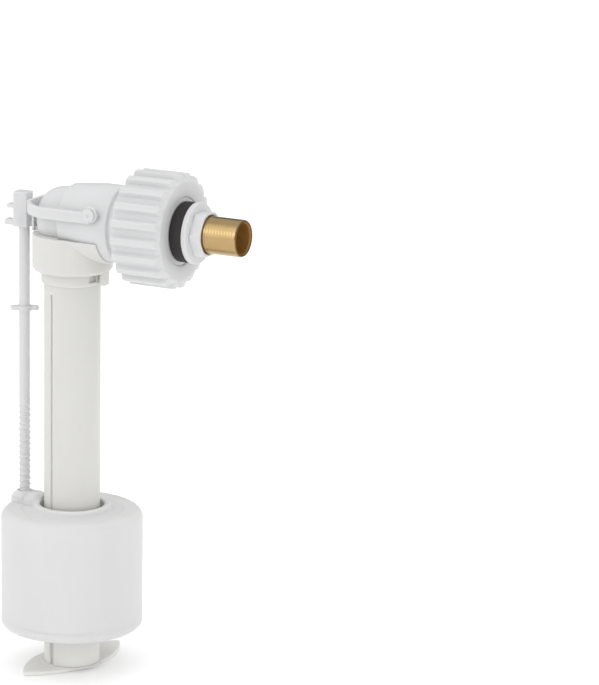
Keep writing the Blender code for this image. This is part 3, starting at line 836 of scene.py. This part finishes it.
def outlet_tube():
    low, high = tube_low, tube_high
    radius = (high.y - low.y) / 2
    inner = radius - 0.0015
    profile = rounded([
        (inner, low.z, 0.0003),
        (radius, low.z, 0.0005),
        (radius, high.z, 0.0005),
        (inner, high.z, 0.0003),
    ], 4)
    obj = new_object("Outlet_tube", lathe(profile, "Z", (AX, 0, 0), 144))
    cuts = []
    for depth, half, span in ((0.0010, 0.0010, (-0.2440, -0.0422)), (0.00135, 0.0016, (-0.2650, -0.2450))):
        reach = (AX + radius - depth, AX + radius + 0.002)
        cuts.append(block(reach, (-half, half), span, -107.0, (AX, 0, 0)))
    combine(obj, "DIFFERENCE", *cuts)
    soften(obj, 0.0002, 2, 50)
    settle(obj, "valve", "warm_plastic", ["outlet_tube"], 45)


def silencer_tube():
    low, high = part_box("silencer_tube")
    lip = (high.y - low.y) / 2
    profile = rounded([
        (0.0090, low.z, 0.0003),
        (0.0102, low.z, 0.0003),
        (0.0102, high.z - 0.002, 0.0004),
        (lip, high.z - 0.002, 0.0002),
        (lip, high.z, 0.0003),
        (0.0090, high.z, 0.0003),
    ], 4)
    obj = new_object("Silencer_tube", lathe(profile, "Z", (AX, 0, 0), TURN))
    settle(obj, "valve", "warm_plastic", ["silencer_tube"])


def foot_plate():
    """A pointed leaf, the overlap of two round discs, with the spigot that stands up into the tube."""
    low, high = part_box("foot_plate")
    top = low.z + 0.002
    half = 0.041
    width = 0.018
    arc = (half**2 + width**2) / (2 * width)
    across = Vector((-math.sin(math.radians(77.0)), math.cos(math.radians(77.0))))
    centres = [Vector((-0.0030, 0.0055)) + across * side * (arc - width) for side in (-1, 1)]
    edge = 0.05

    def leaf(angle, radius, along):
        if radius < 0.03:
            return radius
        ray = Vector((math.cos(angle), math.sin(angle)))
        reach = min(ray.dot(c) + math.sqrt(ray.dot(c) ** 2 - c.dot(c) + arc**2) for c in centres)
        return reach - (edge - radius)

    profile = rounded([
        (0.0125, low.z, 0.0002),
        (edge, low.z, 0.0006),
        (edge, top, 0.0006),
        (0.0178, top, 0.0003),
        (0.0174, top + GAP, 0.0001),
        (0.0142, top + GAP, 0.0001),
        (0.0142, high.z, 0.0006),
        (0.0125, high.z, 0.0002),
    ], 4)
    obj = new_object("Leaf_foot", lathe(profile, "Z", (AX, 0, 0), 720, leaf))
    settle(obj, "valve", "warm_plastic", ["foot_plate"], 40)


# ---------------------------------------------------------------- float
FLOAT_HOLE_R = 0.0184
WELL_R = (0.0040, 0.0056)


def float_shell():
    low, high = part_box("float_shell")
    radius = (high.y - low.y) / 2
    neck_r = 0.0220
    valley = -0.1702
    crown = -0.1693
    shoulder = 0.0114
    rim = radius - shoulder
    wall = 0.0018
    profile = rounded([
        (FLOAT_HOLE_R, low.z, 0.0002),
        (FLOAT_HOLE_R, -0.1663, 0.0012),
        (neck_r, -0.1663, 0.0012),
        (neck_r + 0.0010, valley, 0.0020),
        (rim - 0.0010, valley + 0.0002, 0.0010),
        (rim + 0.0006, crown, 0.0030),
        (radius, crown - 0.0004, shoulder - 0.0006),
        (radius, low.z, 0),
        (radius - wall, low.z, 0),
        (radius - wall, valley - 0.003, 0.011),
        (FLOAT_HOLE_R + wall, valley - 0.003, 0.002),
        (FLOAT_HOLE_R + wall, low.z, 0.0002),
    ], 10)
    obj = new_object("Float_body", lathe(profile, "Z", (AX, 0, 0), FLOAT_STEPS))
    axis = (RX, 0, 0)
    boss = -0.1668
    well = rounded([
        (0, low.z, 0),
        (WELL_R[1], low.z, 0),
        (WELL_R[1], -0.1800, 0.0005),
        (0.0078, -0.1795, 0.0005),
        (0.0078, boss, 0.0003),
        (0, boss, 0),
    ], 5)
    length = 0.0075

    def stadium(angle, radius, along):
        across, ahead = abs(math.sin(angle)), math.cos(angle)
        if ahead <= 0:
            return radius
        side = radius / max(1e-6, across)
        if side * ahead <= length:
            return side
        return length * ahead + math.sqrt(max(0.0, radius**2 - (length * across) ** 2))

    hill = rounded([
        (0, -0.1790, 0),
        (0.0087, -0.1790, 0),
        (0.0087, -0.1725, 0.0020),
        (0.0066, -0.1662, 0.0040),
        (0.0040, -0.1634, 0.0030),
        (0, -0.1634, 0),
    ], 6)
    hill = lathe(hill, "Z", axis, TURN, stadium)
    combine(obj, "UNION", lathe(well, "Z", axis, SMALL))
    combine(obj, "UNION", carved(hill, rod(0.0187, -0.1800, -0.1600, "Z", (AX, 0, 0), STEPS)))
    catch = catch_line()
    room = [(0, catch[0][1])] + catch[1:-1] + [(0, catch[-1][1] + BITE)]
    combine(obj, "DIFFERENCE", lathe(room, "Z", axis, SMALL))
    combine(obj, "DIFFERENCE", rod(WELL_R[0], low.z - BITE, boss + 0.002, "Z", axis))
    settle(obj, "float", "float_plastic", ["float_shell"], 40)


def float_base():
    low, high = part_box("float_base")
    radius = (high.y - low.y) / 2
    wall = 0.0018
    floor = low.z + 0.002
    profile = rounded([
        (FLOAT_HOLE_R, low.z, 0.0004),
        (radius - 0.0022, low.z, 0.0018),
        (radius, low.z + 0.0024, 0.0022),
        (radius, high.z + GAP, 0),
        (radius - wall, high.z + GAP, 0),
        (radius - wall, floor, 0.0006),
        (FLOAT_HOLE_R + wall, floor, 0.0006),
        (FLOAT_HOLE_R + wall, high.z, 0.0002),
        (FLOAT_HOLE_R, high.z, 0.0002),
    ], 6)
    obj = new_object("Float_base", lathe(profile, "Z", (AX, 0, 0), FLOAT_STEPS))
    axis = (RX, 0, 0)
    combine(obj, "UNION", rod(WELL_R[1], low.z + 0.0005, high.z, "Z", axis, SMALL))
    combine(obj, "DIFFERENCE", rod(WELL_R[0], low.z - BITE, high.z + BITE, "Z", axis))
    settle(obj, "float", "float_plastic", ["float_base"], 40)


def catch_line():
    """The catch's outline, from its bore at the foot round to its bore at the top."""
    low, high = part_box("float_catch")
    radius = (high.y - low.y) / 2
    bore = ROD_R + GAP
    return rounded([
        (bore, low.z - GAP, 0),
        (radius, low.z - GAP, 0),
        (radius - 0.0006, low.z + 0.0012, 0.0012),
        (bore + 0.0009, high.z, 0.0010),
        (bore, high.z, 0.0002),
    ], 6)


def float_catch():
    obj = new_object("Float_catch", lathe(catch_line(), "Z", (RX, 0, 0), SMALL))
    settle(obj, "float", "float_plastic", ["float_catch"])


def inner_parts():
    """Pieces inside the valve keep their CAD shape and take a finished material."""
    slots = {part["node"]: part["material_slot"] for part in frame["record"]["subparts"]}
    shown = [
        "pilot_nozzle", "metering_pin", "flange_seal", "flow_restrictor",
        "diaphragm", "diaphragm_bush", "pilot_seal", "inlet_filter",
    ]
    for node in shown:
        obj = frame["nodes"][node]
        for slot in obj.material_slots:
            slot.material = MATERIALS[slots[node]]


for make in (
    inlet_tail, wall_washer, backnut, inlet_flange, union_nut, head_body, head_end_cap, lever, lever_pins,
    float_rod, rod_clip, outlet_cup, tube_collar, outlet_tube, silencer_tube, foot_plate,
    float_shell, float_base, float_catch, inner_parts,
):
    make()


# ---------------------------------------------------------------- stage, light, camera
def stage():
    floor_z = cad_box[0][2]
    bpy.ops.mesh.primitive_plane_add(size=60, location=(0, 0, floor_z - 0.0002))
    floor = bpy.context.active_object
    floor.name = "Floor"
    made, tree, shader, place = start_material("floor_look")
    mottled = noise(tree, place, 3.0, 3.0)
    stops = [(0.3, (0.925, 0.925, 0.925)), (0.7, (0.94, 0.94, 0.94))]
    tree.links.new(ramp(tree, mottled, stops), shader.inputs["Base Color"])
    shader.inputs["Emission Color"].default_value = (1.0, 1.0, 1.0, 1.0)
    shader.inputs["Emission Strength"].default_value = 0.12
    shader.inputs["Roughness"].default_value = 0.9
    shader.inputs["Specular IOR Level"].default_value = 0.1
    floor.data.materials.append(made)

    world = bpy.data.worlds.new("Studio")
    bpy.context.scene.world = world
    world.use_nodes = True
    tree = world.node_tree
    direction = tree.nodes.new("ShaderNodeTexCoord").outputs["Generated"]
    soft = towards(tree, direction, (0.0, 0.0, 1.0), 0.0, 1.0, 0.76, 1.26)
    studio = towards(tree, direction, (-0.48, -0.72, 0.50), 0.60, 0.97, 0.74, 1.50)
    behind = towards(tree, direction, (-0.49, 0.86, 0.12), 0.84, 0.98, 1.0, 0.20)
    product = tree.nodes.new("ShaderNodeMath")
    product.operation = "MULTIPLY"
    tree.links.new(studio, product.inputs[0])
    tree.links.new(behind, product.inputs[1])
    reflected = product.outputs["Value"]
    path = tree.nodes.new("ShaderNodeLightPath")
    choose = tree.nodes.new("ShaderNodeMix")
    tree.links.new(path.outputs["Is Glossy Ray"], choose.inputs["Factor"])
    tree.links.new(soft, choose.inputs["A"])
    tree.links.new(reflected, choose.inputs["B"])
    backdrop = tree.nodes.new("ShaderNodeMix")
    backdrop.inputs["B"].default_value = 1.0
    tree.links.new(path.outputs["Is Camera Ray"], backdrop.inputs["Factor"])
    tree.links.new(choose.outputs["Result"], backdrop.inputs["A"])
    tree.links.new(backdrop.outputs["Result"], tree.nodes["Background"].inputs["Strength"])
    tree.nodes["Background"].inputs["Color"].default_value = (1.0, 1.0, 1.0, 1.0)


def towards(tree, direction, aim, start, end, low, high):
    """A brightness that rises from low to high as direction turns to aim."""
    dot = tree.nodes.new("ShaderNodeVectorMath")
    dot.operation = "DOT_PRODUCT"
    dot.inputs[1].default_value = Vector(aim).normalized()
    tree.links.new(direction, dot.inputs[0])
    node = tree.nodes.new("ShaderNodeMapRange")
    node.interpolation_type = "SMOOTHSTEP"
    node.inputs["From Min"].default_value = start
    node.inputs["From Max"].default_value = end
    node.inputs["To Min"].default_value = low
    node.inputs["To Max"].default_value = high
    tree.links.new(dot.outputs["Value"], node.inputs["Value"])
    return node.outputs["Result"]


def area(name, target, direction, distance, size, energy, colour=(1, 1, 1)):
    light = bpy.data.lights.new(name, "AREA")
    light.shape = "RECTANGLE"
    light.size, light.size_y = size
    light.energy = energy
    light.color = colour
    obj = bpy.data.objects.new(name, light)
    obj.location = Vector(target) + Vector(direction).normalized() * distance
    obj.rotation_euler = Vector(direction).to_track_quat("Z", "Y").to_euler()
    bpy.context.scene.collection.objects.link(obj)


def lights():
    middle = (AX, 0, -0.10)
    area("Key", middle, (-0.10, -0.82, 0.55), 1.8, (1.0, 0.7), 2.2)


def camera():
    azimuth, elevation = math.radians(29.956), math.radians(14.728)
    level = math.cos(elevation)
    back = Vector((math.sin(azimuth) * level, -math.cos(azimuth) * level, math.sin(elevation)))
    right = Vector((math.cos(azimuth), math.sin(azimuth), 0))
    up = back.cross(right)
    target = Vector((AX, 0, -0.115))
    place = target + back * 2.24267
    aim = target + right * 0.129696 + up * 0.04185
    forward = (aim - place).normalized()
    side = forward.cross(Vector((0, 0, 1))).normalized()
    top = side.cross(forward)
    roll = math.radians(0.913)
    side, top = side * math.cos(roll) + top * math.sin(roll), top * math.cos(roll) - side * math.sin(roll)
    data = bpy.data.cameras.new("Camera")
    data.lens = 206.4
    data.sensor_width = 36.0
    obj = bpy.data.objects.new("Camera", data)
    matrix = Matrix((side, top, -forward)).transposed().to_4x4()
    matrix.translation = place
    obj.matrix_world = matrix
    bpy.context.scene.collection.objects.link(obj)
    bpy.context.scene.camera = obj


stage()
lights()
camera()
bpy.context.scene.view_settings.view_transform = "Standard"
